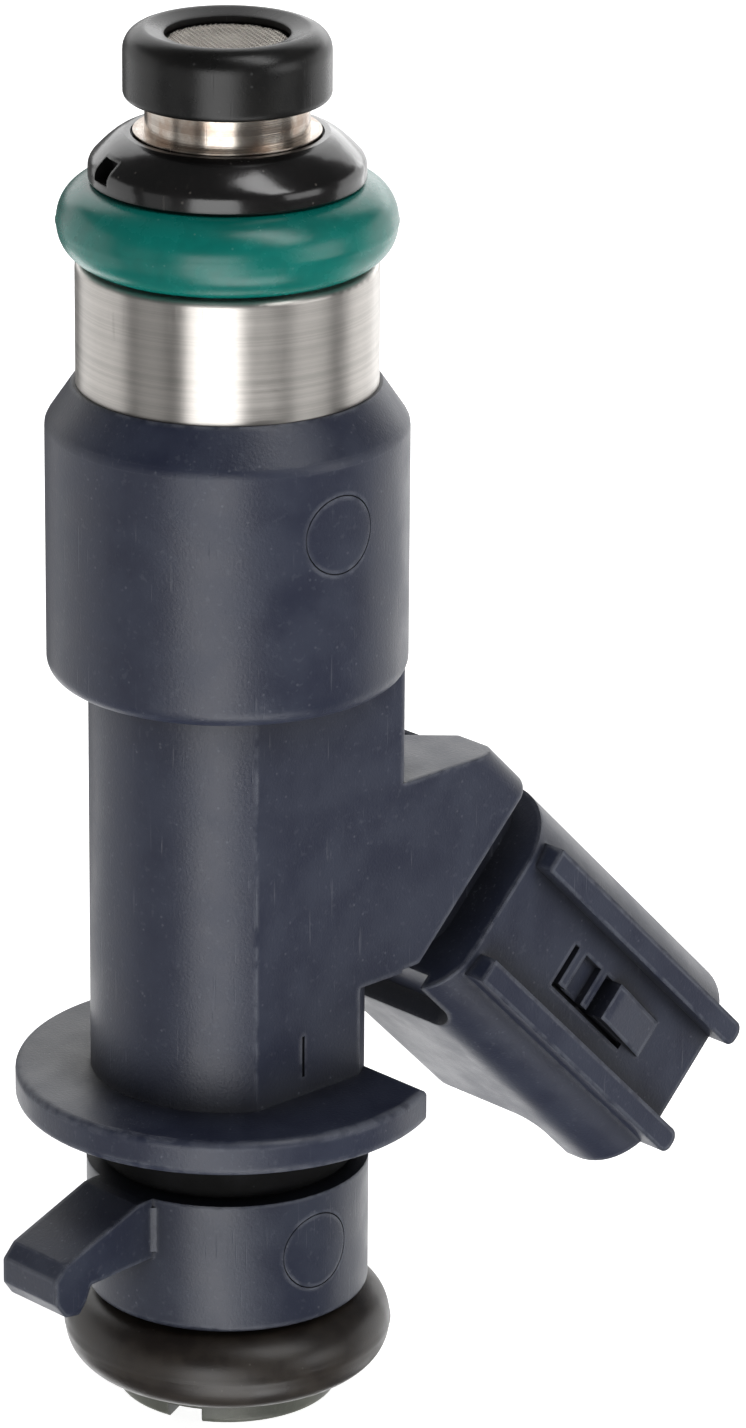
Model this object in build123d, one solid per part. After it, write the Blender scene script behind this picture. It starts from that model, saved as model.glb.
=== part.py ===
from build123d import *
import math
import os

# A port fuel injector, in millimetres. The origin is on the injector's axis at the tip of
# the nozzle, +Z points up to the fuel rail, and +X is the side that the connector is on.
# The connector's lock faces -Y.

# ---- levels along the axis ----
RIM_TOP = 1.3
SEAT_TOP = 4.5
LOWER_SLEEVE_BOTTOM = 5.05
LOWER_SLEEVE_TOP = 11.1
FLANGE_BOTTOM = 13.9
FLANGE_TOP = 15.45
GUSSET_TOP = 28.45
UPPER_BARREL_BOTTOM = 33.75
VALVE_BODY_TOP = 34.6
CAN_BOTTOM = 34.9
CORE_BOTTOM = 37.72
CAN_TOP = 45.9
CHAMFER_BOTTOM = 45.1
BARREL_TOP = 46.85
STEEL_TOP = 52.18
BOSS_TOP = 55.7
COLLAR_BOTTOM = 55.74
COLLAR_TOP = 57.8
LIP_BOTTOM = 57.5
CAP_BOTTOM = 59.3
TUBE_TOP = 61.2
SCREEN_BOTTOM = 61.55
SCREEN_TOP = 61.8
CAP_TOP = 62.3
CAP_DISH = 0.25          # how far the top falls from its crest to the hole

# ---- radii ----
LOWER_BARREL_R = 6.03
UPPER_BARREL_R = 7.82
FLANGE_R = 9.35
LOWER_SLEEVE_R = 6.25
STEEL_R = 6.48
CAP_R = 4.42
CAP_HOLE_R = 2.68
SCREEN_R = 3.2
CAN_R = 6.95
CUSHION_R = 5.75
WITNESS_R = 1.75
RIM_R = 4.95
TUBE_R = 3.5
CORE_R = 4.2
NOZZLE_R = 3.7
BARREL_FLAT = 5.2        # the lower barrel's side flats, from the axis
BLOCK_X = 5.85           # the square shoulder above the connector, from the axis
FLANGE_FLAT = 4.1        # the flange's flat on the connector side, from the axis
NEST = 0.02              # clearance between pieces that nest in one another

# ---- O-rings: 7.52 x 3.53 standard section ----
O_RING_BORE = 7.52
O_RING_SECTION = 3.53

# ---- the valve ----
LIFT = 0.08              # travel of the needle, as the joint has it
BALL_R = 1.5
BALL_Z = 3.3
NEEDLE_R = 1.1
ARMATURE_BOTTOM = 33.6
ARMATURE_TOP = CORE_BOTTOM - LIFT - 0.03
ARMATURE_R = 2.98
ARMATURE_GUIDE_R = 3.02
SPRING_SEAT = 36.4
SPRING_TOP = 42.0

# ---- the connector, in its own frame at the centre of its mouth ----
# local x is towards the lock (-Y), local y is down and inwards, local z is out of the mouth
TILT = 45
MOUTH_X = 23.85
MOUTH_Z = 9.15
SHROUD_NEAR = 5.0
SHROUD_FAR = -6.2
SHROUD_HALF = 5.35
SHROUD_LENGTH = 16.76
NECK_LENGTH = 2.7
SLOPE_DROP = 0.4          # how far the gusset's slope lies below the shroud's upper side
NECK_HALF = 4.2           # the neck is nearly flush with the shroud on its upper side
WALL = 1.2
CAVITY_DEPTH = 12.8
FAR_LIP = 3.25           # how much shorter the shroud is on its far side
RAIL_TOP = 5.95
RAIL_TIP = 0.6
RAIL_IN = 2.35
RAIL_OUT = 3.5
TERMINAL_X = 5.0
TERMINAL_T = 0.5
TERMINAL_W = 1.2
TERMINAL_PITCH = 2.6
TERMINAL_TIP = 6.2       # from the mouth back to the tips

os.makedirs("parts", exist_ok=True)

UNIT_D = (math.cos(math.radians(TILT)), 0, -math.sin(math.radians(TILT)))
MOUTH = Plane(origin=(MOUTH_X, 0, MOUTH_Z), x_dir=(0, -1, 0), z_dir=UNIT_D)


def ring(bottom, top, outer, inner=0.0):
    """A turned ring or disc between two levels."""
    body = Pos(0, 0, bottom) * extrude(Circle(outer), top - bottom)
    if inner > 0:
        body -= Pos(0, 0, bottom - 1) * extrude(Circle(inner), top - bottom + 2)
    return body


def turned(points):
    """A solid of revolution about Z from a closed outline of (radius, level) points."""
    outline = Plane.XZ * make_face(Polyline(*points, close=True))
    return revolve(outline, Axis.Z)


def box_between(low, high):
    """A box from its lowest corner to its highest."""
    size = [b - a for a, b in zip(low, high)]
    return Pos(*low) * Box(*size, align=(Align.MIN, Align.MIN, Align.MIN))


def in_mouth(shape, along=0.0):
    """Puts a shape drawn in the connector's own frame into place, moved along its axis."""
    return MOUTH * (Pos(0, 0, along) * shape)


def mouth_point(across, along):
    """The (x, z) of a point on the injector's middle plane given in the connector's frame."""
    turn = math.radians(TILT)
    x = MOUTH_X + along * math.cos(turn) - across * math.sin(turn)
    z = MOUTH_Z - along * math.sin(turn) - across * math.cos(turn)
    return x, z


def connector_section(near, far, half, near_r, far_r):
    """The connector's section: large rounds towards the lock, smaller ones away from it."""
    face = Pos((near + far) / 2, 0) * Rectangle(near - far, 2 * half)
    corners = face.vertices().sort_by(Axis.X)
    face = fillet(corners[2:], near_r)
    corners = face.vertices().sort_by(Axis.X)
    return fillet(corners[:2], far_r)


def round_rim(body, level, radius, amount):
    """Rounds the circular edge of a given radius at a given level."""
    edges = [
        edge for edge in body.edges().filter_by(GeomType.CIRCLE)
        if abs(edge.center().Z - level) < 0.01 and abs(edge.radius - radius) < 0.01
    ]
    return fillet(edges, amount)


# ---- terminals ----
def terminal(side):
    """A blade that runs down from the coil and then along the connector's axis."""
    half = TERMINAL_T / 2
    bend_z = MOUTH_X + MOUTH_Z - TERMINAL_X
    mitre = half * math.tan(math.radians(TILT / 2))
    reach = (MOUTH_X - TERMINAL_X) / math.cos(math.radians(TILT)) - TERMINAL_TIP
    tip_x = TERMINAL_X + reach * math.cos(math.radians(TILT))
    tip_z = bend_z - reach * math.sin(math.radians(TILT))
    off = half * math.sin(math.radians(TILT))
    outline = Polyline(
        (TERMINAL_X - half, CAN_BOTTOM + 1.3),
        (TERMINAL_X - half, bend_z - mitre),
        (tip_x - off, tip_z - off),
        (tip_x + off, tip_z + off),
        (TERMINAL_X + half, bend_z + mitre),
        (TERMINAL_X + half, CAN_BOTTOM + 1.3),
        close=True,
    )
    blade = extrude(Plane.XZ * make_face(outline), TERMINAL_W / 2, both=True)
    centre = -(SHROUD_NEAR + SHROUD_FAR) / 2
    return Pos(0, centre + side * TERMINAL_PITCH / 2, 0) * blade


terminal_1 = terminal(-1)
terminal_2 = terminal(1)


# ---- body moulding ----
def gusset():
    """The slab that carries the connector out from the barrel, and its square shoulder."""
    back = -(SHROUD_LENGTH + NECK_LENGTH)
    top = mouth_point(SLOPE_DROP - SHROUD_HALF, back)
    bottom = mouth_point(4.5, back)
    break_x = MOUTH_X + MOUTH_Z + (SHROUD_HALF - SLOPE_DROP) * math.sqrt(2) - GUSSET_TOP
    outline = Polyline(
        (1, GUSSET_TOP),
        (break_x, GUSSET_TOP),
        top,
        bottom,
        (1, bottom[1] - 0.2),
        close=True,
    )
    slab = extrude(Plane.XZ * make_face(outline), BARREL_FLAT, both=True)
    near = [
        edge for edge in slab.edges()
        if abs(edge.center().X - (break_x + top[0]) / 2) < 0.01 and edge.center().Y < 0
    ]
    slab = fillet(near, 1.0)
    mouth = Vector(MOUTH_X, 0, MOUTH_Z)
    end = [
        edge for edge in slab.edges()
        if abs((edge.center() - mouth).dot(Vector(*UNIT_D)) - back) < 0.01
    ]
    slab = fillet(end, 0.3)
    near_corner = Vector(break_x, -2.5, GUSSET_TOP)
    barrel_corner = Vector(3.5, BARREL_FLAT, GUSSET_TOP)
    slope_corner = Vector(break_x + 3.4, BARREL_FLAT, GUSSET_TOP - 3.4)
    along = barrel_corner - near_corner
    outward = along.cross(slope_corner - near_corner)
    if outward.Z < 0:
        outward = outward * -1
    corner_cut = Plane(origin=near_corner, x_dir=along, z_dir=outward) * Pos(0, 0, 10) * Box(60, 60, 20)
    slab -= corner_cut
    shoulder = box_between(
        (1, -BARREL_FLAT, bottom[1] - 0.2), (BLOCK_X, BARREL_FLAT, UPPER_BARREL_BOTTOM + 0.3))
    upright = shoulder.edges().filter_by(Axis.Z).group_by(Axis.X)[-1]
    return slab + fillet(upright, 0.35)


def barrel():
    """The turned part of the moulding: flange, lower barrel, upper barrel and chamfer."""
    upper = turned([
        (0, UPPER_BARREL_BOTTOM),
        (UPPER_BARREL_R, UPPER_BARREL_BOTTOM),
        (UPPER_BARREL_R, CHAMFER_BOTTOM),
        (STEEL_R + 0.15, BARREL_TOP),
        (0, BARREL_TOP),
    ])
    upper = round_rim(upper, UPPER_BARREL_BOTTOM, UPPER_BARREL_R, 0.8)
    upper = round_rim(upper, CHAMFER_BOTTOM, UPPER_BARREL_R, 0.6)
    flange = ring(FLANGE_BOTTOM, FLANGE_TOP, FLANGE_R)
    flange -= box_between((FLANGE_FLAT, -20, 0), (20, 20, 30))
    flange = fillet(flange.edges().filter_by(Axis.Z, reverse=True), 0.3)
    lower = ring(FLANGE_BOTTOM + 0.4, UPPER_BARREL_BOTTOM + 0.5, LOWER_BARREL_R)
    flat_height = UPPER_BARREL_BOTTOM - FLANGE_TOP
    for side in (-1, 1):
        lower -= Pos(0, side * (BARREL_FLAT + 5), FLANGE_TOP + flat_height / 2) * Box(
            20, 10, flat_height)
    return lower + upper + flange


def shroud():
    """The connector's shell, its neck, its guide rails and its lock."""
    outer = connector_section(SHROUD_NEAR, SHROUD_FAR, SHROUD_HALF, 3.0, 1.8)
    shell = in_mouth(extrude(outer, SHROUD_LENGTH), -SHROUD_LENGTH)
    step = extrude(RectangleRounded(16, 12, 1.2), 9, both=True)
    step = Pos(1.3 - 8, 0, 6 - FAR_LIP) * Rot(90, 0, 0) * step
    shell -= in_mouth(step)
    scoop = extrude(RectangleRounded(14, 8, 1.5), 3.0)
    scoop = Pos(3.4 - 7, 7.3, -SHROUD_LENGTH - 0.4) * Rot(90, 0, 0) * scoop
    shell -= in_mouth(scoop)
    inner = connector_section(
        SHROUD_NEAR - 2.1, SHROUD_FAR + 1.0, NECK_HALF, 1.8, 1.2)
    neck = extrude(inner, NECK_LENGTH + 4)
    neck = in_mouth(Pos(0, NECK_HALF - SHROUD_HALF + 0.45, 0) * neck, -SHROUD_LENGTH - NECK_LENGTH - 1)
    bore = connector_section(
        SHROUD_NEAR - WALL, SHROUD_FAR + WALL, SHROUD_HALF - WALL, 1.8, 0.8)
    shell += neck
    shell -= in_mouth(extrude(bore, CAVITY_DEPTH + 1), -CAVITY_DEPTH)
    for side in (-1, 1):
        shell += guide_rail(side)
    return lock(shell)


def guide_rail(side):
    """One of the two rails beside the lock, with a rounded tip past the mouth."""
    length = SHROUD_LENGTH - 0.5 + RAIL_TIP
    plan = Rectangle(RAIL_OUT - RAIL_IN, length)
    plan = fillet(plan.vertices().group_by(Axis.Y)[-1], 0.5)
    rail = extrude(Plane.YZ * plan, RAIL_TOP - SHROUD_NEAR + 0.9)
    rail = Pos(SHROUD_NEAR - 0.9, side * (RAIL_IN + RAIL_OUT) / 2, RAIL_TIP - length / 2) * rail
    return in_mouth(rail)


def lock(shell):
    """The lock: an outline groove, a shallow pocket, a deep slot, and the ramp that the latch climbs."""
    outline = Polyline(
        (SHROUD_NEAR - 0.5, -7.7),
        (SHROUD_NEAR + 0.5, -7.7),
        (SHROUD_NEAR + 0.5, -7.1),
        (SHROUD_NEAR + 0.12, -3.7),
        (SHROUD_NEAR - 0.5, -3.7),
        close=True,
    )
    ramp = extrude(Plane.XZ * make_face(outline), 0.92, both=True)
    shell += in_mouth(Pos(0, -0.12, 0) * ramp)
    top = SHROUD_NEAR + 1
    back_groove = box_between((SHROUD_NEAR - 0.6, -1.05, -11.2), (top, 1.15, -10.85))
    side_groove = box_between((SHROUD_NEAR - 0.6, 0.86, -11.2), (top, 1.15, -5.0))
    pocket = box_between((SHROUD_NEAR - 0.35, -1.02, -10.2), (top, 0.86, -8.85))
    slot = box_between((SHROUD_NEAR - 0.95, -1.02, -8.3), (top, 0.86, -7.7))
    for cut in (back_groove, side_groove, pocket, slot):
        shell -= in_mouth(cut)
    return shell


def witness_ring(radius, turn, level):
    """A fine circle left by a mould pin, to be cut into a wall of a given radius."""
    circle = Circle(WITNESS_R) - Circle(WITNESS_R - 0.05)
    depth = radius - math.sqrt(radius ** 2 - WITNESS_R ** 2) + 0.015
    cutter = extrude(Plane.YZ * circle, 2)
    return Rot(0, 0, turn) * Pos(radius - depth, 0, level) * cutter


body_moulding = barrel() + gusset() + shroud()
for bottom, top, radius in (
    (FLANGE_BOTTOM - 1, CAN_BOTTOM, CORE_R + NEST),
    (CAN_BOTTOM, CAN_TOP, CAN_R + NEST),
    (CAN_TOP, BARREL_TOP + 1, STEEL_R + NEST),
):
    body_moulding -= ring(bottom, top, radius)
body_moulding = body_moulding - terminal_1 - terminal_2
body_moulding -= witness_ring(UPPER_BARREL_R, -94.7, 41.95)
body_moulding -= box_between((-0.35, -BARREL_FLAT - 1, 16.3), (-0.2, 0.12 - BARREL_FLAT, 18.2))


# ---- outside pieces ----
def locating_sleeve():
    """The lower sleeve with the hooked lug that sets which way the injector faces."""
    sleeve = ring(LOWER_SLEEVE_BOTTOM, LOWER_SLEEVE_TOP, LOWER_SLEEVE_R)
    sleeve = round_rim(sleeve, LOWER_SLEEVE_BOTTOM, LOWER_SLEEVE_R, 0.25)
    outline = Polyline(
        (-5.0, LOWER_SLEEVE_TOP),
        (-6.4, LOWER_SLEEVE_TOP),
        (-6.9, 11.05),
        (-11.0, 9.45),
        (-11.6, 8.8),
        (-11.6, 7.7),
        (-11.1, 7.0),
        (-10.3, 6.9),
        (-9.9, 7.4),
        (-9.6, 8.1),
        (-5.0, 8.35),
        close=True,
    )
    lug = extrude(Plane.XZ * make_face(outline), 1.75, both=True)
    lug = fillet(lug.edges().filter_by(Axis.Y), 0.2)
    bevel = extrude(make_face(Polyline((-6.2, -1.7), (-5.75, -2.1), (-5.4, -1.7), close=True)), 2.1)
    sleeve += lug + Pos(0, 0, 8.6) * bevel
    sleeve -= witness_ring(LOWER_SLEEVE_R, -93.3, 8.4)
    return sleeve - ring(0, 20, CORE_R + NEST)


def o_ring(level):
    """A torus of standard section, centred on the axis at a level."""
    major = (O_RING_BORE + O_RING_SECTION) / 2
    return Pos(0, 0, level) * Torus(major, O_RING_SECTION / 2)


def nozzle_cap():
    """The ring that keeps the lower O-ring on, with one notch in its rim."""
    cap = ring(0, RIM_TOP, RIM_R)
    cap = round_rim(cap, 0, RIM_R, 0.3)
    cap -= ring(0.88, RIM_TOP + 1, NOZZLE_R + NEST)
    cap -= ring(-1, 2, 3.1)
    notch = box_between((3.0, -0.8, -1), (6, 0.8, 0.7))
    return cap - Rot(0, 0, -155) * notch


def seal_collar():
    """The glossy collar above the upper O-ring, a cone with a rounded shoulder."""
    foot_r = 5.9
    outline = Line((4.1, LIP_BOTTOM - 0.02), (TUBE_R + NEST, LIP_BOTTOM - 0.02))
    outline += Line((TUBE_R + NEST, LIP_BOTTOM - 0.02), (TUBE_R + NEST, COLLAR_BOTTOM))
    outline += Line((TUBE_R + NEST, COLLAR_BOTTOM), (foot_r - 0.1, COLLAR_BOTTOM))
    outline += Line((foot_r - 0.1, COLLAR_BOTTOM), (foot_r, COLLAR_BOTTOM + 0.12))
    outline += Line((foot_r, COLLAR_BOTTOM + 0.12), (foot_r, 56.3))
    outline += Spline(
        (foot_r, 56.3), (5.62, 56.88), (5.05, 57.42), (4.35, COLLAR_TOP),
        tangents=[(0, 1), (-1, 0.3)])
    outline += Line((4.35, COLLAR_TOP), (4.1, COLLAR_TOP))
    outline += Line((4.1, COLLAR_TOP), (4.1, LIP_BOTTOM - 0.02))
    collar = revolve(Plane.XZ * make_face(outline), Axis.Z)
    notch = box_between((5.0, -0.6, 56.2), (7, 0.6, 57.15))
    return collar - Rot(0, 0, 163) * notch


def filter_cap():
    """The plastic cap on top of the inlet tube, with the fuel inlet through it."""
    cap = ring(CAP_BOTTOM, CAP_TOP, CAP_R)
    cap = round_rim(cap, CAP_TOP, CAP_R, 0.95)
    cap = round_rim(cap, CAP_BOTTOM, CAP_R, 0.3)
    cap -= ring(CAP_BOTTOM - 1, TUBE_TOP, TUBE_R + NEST)
    cap -= ring(TUBE_TOP - 0.1, SCREEN_TOP, SCREEN_R + NEST)
    cap -= ring(SCREEN_TOP - 0.1, CAP_TOP + 1, CAP_HOLE_R)
    hole_rim = CAP_TOP - CAP_DISH
    return cap - turned([(0, hole_rim), (CAP_HOLE_R, hole_rim), (3.5, CAP_TOP), (0, CAP_TOP)])


def inlet_screen():
    """A round perforated disc, the fine strainer just inside the inlet."""
    disc = ring(SCREEN_BOTTOM, SCREEN_TOP, SCREEN_R)
    pitch = 0.52
    count = 4
    spots = [
        (i * pitch, j * pitch)
        for i in range(-count, count + 1)
        for j in range(-count, count + 1)
        if math.hypot(i, j) * pitch < CAP_HOLE_R - 0.3
    ]
    holes = Locations(*spots).locations
    cutters = [place * Pos(0, 0, SCREEN_BOTTOM - 0.1) * Box(0.34, 0.34, 1) for place in holes]
    return disc - cutters


def filter_basket():
    """The basket under the strainer: a flange, four ribs and a closed foot."""
    basket = ring(TUBE_TOP, SCREEN_BOTTOM, SCREEN_R, 2.2)
    basket += ring(59.6, TUBE_TOP, 2.56, 2.2)
    basket += ring(52.6, 53.4, 2.56)
    for turn in range(4):
        rib = box_between((2.0, -0.35, 53.3), (2.5, 0.35, 59.7))
        basket += Rot(0, 0, 90 * turn) * rib
    return basket


inlet_tube = ring(CAN_TOP, TUBE_TOP, TUBE_R, 2.6)
inlet_tube += ring(LIP_BOTTOM, COLLAR_TOP + 0.1, 4.0, 2.6)

rail_sleeve = ring(CAN_TOP, STEEL_TOP, STEEL_R)
rail_sleeve = round_rim(rail_sleeve, STEEL_TOP, STEEL_R, 0.25)
rail_sleeve += ring(STEEL_TOP - 0.1, BOSS_TOP, 3.74)
rail_sleeve -= ring(CAN_TOP - 1, BOSS_TOP + 1, TUBE_R + NEST)

cushion_ring = ring(LOWER_SLEEVE_TOP, FLANGE_BOTTOM, CUSHION_R, CORE_R + NEST)
cushion_ring = round_rim(cushion_ring, LOWER_SLEEVE_TOP, CUSHION_R, 0.6)
cushion_ring = round_rim(cushion_ring, FLANGE_BOTTOM, CUSHION_R, 0.6)

rail_o_ring = o_ring(STEEL_TOP + O_RING_SECTION / 2 + 0.01)
manifold_o_ring = o_ring(RIM_TOP + O_RING_SECTION / 2 - 0.01)


# ---- magnet ----
def coil_bobbin():
    """The plastic spool that the wire is wound on."""
    spool = ring(CAN_BOTTOM + 0.7, CAN_TOP - 0.65, 6.3)
    spool -= ring(CAN_BOTTOM + 1.4, CAN_TOP - 1.35, 7, 4.75)
    spool -= ring(0, 60, CORE_R + 0.03)
    return spool - terminal_1 - terminal_2


def coil_can():
    """The steel cup round the coil, slotted where the terminals leave."""
    can = ring(CAN_BOTTOM, CAN_TOP, CAN_R)
    can -= ring(CAN_BOTTOM + 0.68, CAN_TOP + 1, 6.33)
    can -= ring(0, 60, CORE_R + 0.03)
    return can - box_between((4.3, -2.2, 30), (6.2, 3.4, CAN_BOTTOM + 0.69))


coil_winding = ring(CAN_BOTTOM + 1.42, CAN_TOP - 1.37, 6.1, 4.77)
flux_washer = ring(CAN_TOP - 0.62, CAN_TOP, 6.31, CORE_R + 0.03)
fixed_core = ring(CORE_BOTTOM, CAN_TOP, CORE_R, 1.9)
gap_ring = ring(VALVE_BODY_TOP, CORE_BOTTOM, CORE_R, ARMATURE_GUIDE_R)


# ---- valve ----
def valve_body():
    """The long tube that holds the needle, stepped down for the lower O-ring."""
    tube = ring(LOWER_SLEEVE_BOTTOM, VALVE_BODY_TOP, CORE_R)
    tube += ring(0.9, LOWER_SLEEVE_BOTTOM, NOZZLE_R)
    tube -= ring(0, SEAT_TOP, 3.0)
    tube -= ring(SEAT_TOP - 0.1, 32, 3.2)
    return tube - ring(31.9, VALVE_BODY_TOP + 1, ARMATURE_GUIDE_R)


def valve_seat():
    """The seat: a ball guide with four fuel slots above a 90 degree cone."""
    apex = BALL_Z - BALL_R * math.sqrt(2) - 0.012
    guide_r = BALL_R + 0.03
    outlet_r = 0.4
    seat = turned([
        (outlet_r, 1.45),
        (1.2, 1.45),
        (1.2, 1.25),
        (3.0 - NEST, 1.25),
        (3.0 - NEST, SEAT_TOP - 0.1),
        (guide_r, SEAT_TOP - 0.1),
        (guide_r, apex + guide_r),
        (outlet_r, apex + outlet_r),
    ])
    for turn in range(4):
        slot = box_between((1.2, -0.45, apex + guide_r), (2.3, 0.45, SEAT_TOP + 1))
        seat -= Rot(0, 0, 90 * turn + 45) * slot
    return seat


def spray_plate():
    """The thin plate that meters the fuel, with a ring of fine holes."""
    plate = ring(1.0, 1.25, 3.0 - NEST)
    holes = PolarLocations(0.75, 8)
    return plate - [spot * Cylinder(0.13, 4) for spot in holes]


def needle_guide():
    """The upper guide of the needle, with four holes for the fuel."""
    guide = ring(28, 29, 3.2 - NEST, NEEDLE_R + 0.03)
    holes = PolarLocations(2.1, 4)
    return guide - [spot * Pos(0, 0, 28.5) * Cylinder(0.6, 4) for spot in holes]


def armature():
    """The steel slug that the coil lifts, with a seat for the spring on top."""
    slug = ring(ARMATURE_BOTTOM, ARMATURE_TOP, ARMATURE_R, 0.8)
    slug -= ring(ARMATURE_BOTTOM - 1, 35.2, NEEDLE_R)
    slug -= ring(SPRING_SEAT, 40, 1.75)
    holes = PolarLocations(2.3, 4)
    return slug - [spot * Pos(0, 0, 35) * Cylinder(0.35, 8) for spot in holes]


def valve_needle():
    """The hollow stem between the armature and the ball, cross-drilled for fuel."""
    ball_top = BALL_Z + math.sqrt(BALL_R ** 2 - NEEDLE_R ** 2)
    stem = ring(ball_top, 35.2, NEEDLE_R, 0.65)
    stem -= Pos(0, 0, BALL_Z) * Sphere(BALL_R + 0.005)
    for level in (6.5, 31.5):
        stem -= Pos(0, 0, level) * Rot(90, 0, 0) * Cylinder(0.45, 6)
    return stem


def return_spring():
    """A helical spring of round wire between the armature and the adjuster."""
    wire = 0.19
    height = SPRING_TOP - SPRING_SEAT - 2 * wire - 0.06
    path = Pos(0, 0, SPRING_SEAT + wire + 0.03) * Helix(
        pitch=height / 6, height=height, radius=1.42)
    start = Plane(origin=path @ 0, z_dir=path % 0)
    return sweep(start * Circle(wire), path=path)


adjuster_tube = ring(SPRING_TOP, 47.5, 1.9 - NEST, 1.1)
adjuster_tube -= box_between((0, -0.25, 40), (3, 0.25, 50))
valve_ball = Pos(0, 0, BALL_Z) * Sphere(BALL_R)

PARTS = {
    "filter_cap": filter_cap(),
    "inlet_screen": inlet_screen(),
    "filter_basket": filter_basket(),
    "inlet_tube": inlet_tube,
    "seal_collar": seal_collar(),
    "rail_o_ring": rail_o_ring,
    "rail_sleeve": rail_sleeve,
    "body_moulding": body_moulding,
    "terminal_1": terminal_1,
    "terminal_2": terminal_2,
    "coil_bobbin": coil_bobbin(),
    "coil_winding": coil_winding,
    "coil_can": coil_can(),
    "flux_washer": flux_washer,
    "fixed_core": fixed_core,
    "gap_ring": gap_ring,
    "adjuster_tube": adjuster_tube,
    "return_spring": return_spring(),
    "armature": armature(),
    "valve_needle": valve_needle(),
    "valve_ball": valve_ball,
    "needle_guide": needle_guide(),
    "valve_body": valve_body(),
    "valve_seat": valve_seat(),
    "spray_plate": spray_plate(),
    "locating_sleeve": locating_sleeve(),
    "cushion_ring": cushion_ring,
    "manifold_o_ring": manifold_o_ring,
    "nozzle_cap": nozzle_cap(),
}

for name, shape in PARTS.items():
    export_step(shape, f"parts/{name}.step")
    print(name, round(shape.volume, 2), "mm3,", len(shape.solids()), "solid")
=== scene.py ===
# %% [markdown]
# # A fuel injector, looked at closely
# The injector's working shape comes from CAD: every casing, ring and pin is already in place, in metres,
# with the axis along Z and the nozzle tip at the origin. This file gives those pieces their finishes, and
# makes five that a mesh shows better: two sealing rings, a woven strainer, a wound coil and a return spring.

# %% Load the frame
import math

import bpy
import numpy as np
from mathutils import Matrix, Vector


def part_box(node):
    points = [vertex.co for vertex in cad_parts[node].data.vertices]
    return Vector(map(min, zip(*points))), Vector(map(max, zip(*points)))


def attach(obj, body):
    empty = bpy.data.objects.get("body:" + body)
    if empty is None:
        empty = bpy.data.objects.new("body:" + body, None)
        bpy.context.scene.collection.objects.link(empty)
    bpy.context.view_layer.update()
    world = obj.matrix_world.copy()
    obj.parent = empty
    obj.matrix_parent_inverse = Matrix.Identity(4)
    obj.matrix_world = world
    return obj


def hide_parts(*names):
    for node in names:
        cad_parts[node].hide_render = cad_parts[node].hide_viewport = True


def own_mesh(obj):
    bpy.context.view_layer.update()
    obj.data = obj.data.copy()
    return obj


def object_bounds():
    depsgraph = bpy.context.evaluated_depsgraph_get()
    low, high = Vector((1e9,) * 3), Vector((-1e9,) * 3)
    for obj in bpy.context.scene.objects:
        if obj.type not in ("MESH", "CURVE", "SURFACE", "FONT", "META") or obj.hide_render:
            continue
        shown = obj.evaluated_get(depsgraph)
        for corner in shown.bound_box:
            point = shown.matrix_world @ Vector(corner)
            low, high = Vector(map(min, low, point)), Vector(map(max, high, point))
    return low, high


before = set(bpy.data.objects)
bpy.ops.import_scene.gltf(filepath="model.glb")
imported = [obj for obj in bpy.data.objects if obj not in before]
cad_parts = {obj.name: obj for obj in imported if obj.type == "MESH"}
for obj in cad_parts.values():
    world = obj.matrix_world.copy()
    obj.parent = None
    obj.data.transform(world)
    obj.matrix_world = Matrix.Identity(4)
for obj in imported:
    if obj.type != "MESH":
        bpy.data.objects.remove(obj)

cad_low, cad_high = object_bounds()
MM = 0.001
print("CAD box in mm:", [round(side / MM, 2) for side in cad_high - cad_low])

# %% [markdown]
# ## The stand, the light and the camera
# Glossy black and dark plastic are drawn by what they reflect. Wide softboxes at the sides and behind give the
# injector pale edges, a broad one low and a little left of the camera gives each cylinder its soft vertical
# streak, and the darkness between them shows the shape. The camera is far off with a long lens, so the
# cylinders keep nearly parallel sides. Angles here are in degrees and lengths in metres.

# %% Camera
VIEW_AZIMUTH = math.radians(-43.6)
VIEW_ELEVATION = math.radians(20.3)
VIEW_ROLL = math.radians(0.43)
VIEW_DISTANCE = 0.310
VIEW_HEIGHT = 0.0317
VIEW_ASIDE = 0.0063
VIEW_LENS = 180.5
VIEW_REACH = 10

to_right = Vector((math.cos(VIEW_AZIMUTH), math.sin(VIEW_AZIMUTH), 0))
to_camera = Vector((math.sin(VIEW_AZIMUTH), -math.cos(VIEW_AZIMUTH), 0))
backward = to_camera * math.cos(VIEW_ELEVATION) + Vector((0, 0, math.sin(VIEW_ELEVATION)))
upward = backward.cross(to_right)
roll = Matrix.Rotation(VIEW_ROLL, 3, backward)

lens = bpy.data.cameras.new("camera")
lens.lens = VIEW_LENS
lens.clip_end = VIEW_REACH
camera = bpy.data.objects.new("camera", lens)
bpy.context.collection.objects.link(camera)
placing = Matrix((roll @ to_right, roll @ upward, backward)).transposed().to_4x4()
placing.translation = Vector((0, 0, VIEW_HEIGHT)) + to_right * VIEW_ASIDE + backward * VIEW_DISTANCE
camera.matrix_world = placing
bpy.context.scene.camera = camera
bpy.context.scene.view_settings.view_transform = "Standard"
print("camera at mm:", [round(value / MM) for value in placing.translation])

# %% [markdown]
# ### Shader nodes in short calls
# A finish is a tree of nodes, and writing each node out in full hides what it does. These helpers add one node
# and link its inputs in a single call, so a line of code reads as one step of the recipe.

# %% Helpers for shader nodes
def add(tree, kind, values=None, **settings):
    """A new shader node. Settings are its attributes; values are its inputs, where a socket gets linked."""
    node = tree.nodes.new("ShaderNode" + kind)
    for name, value in settings.items():
        setattr(node, name, value)
    for key, value in (values or {}).items():
        if isinstance(value, bpy.types.NodeSocket):
            tree.links.new(value, node.inputs[key])
        else:
            node.inputs[key].default_value = value
    return node


def maths(tree, operation, first, second):
    """One sum on two numbers or sockets."""
    return add(tree, "Math", {0: first, 1: second}, operation=operation).outputs[0]


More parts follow.
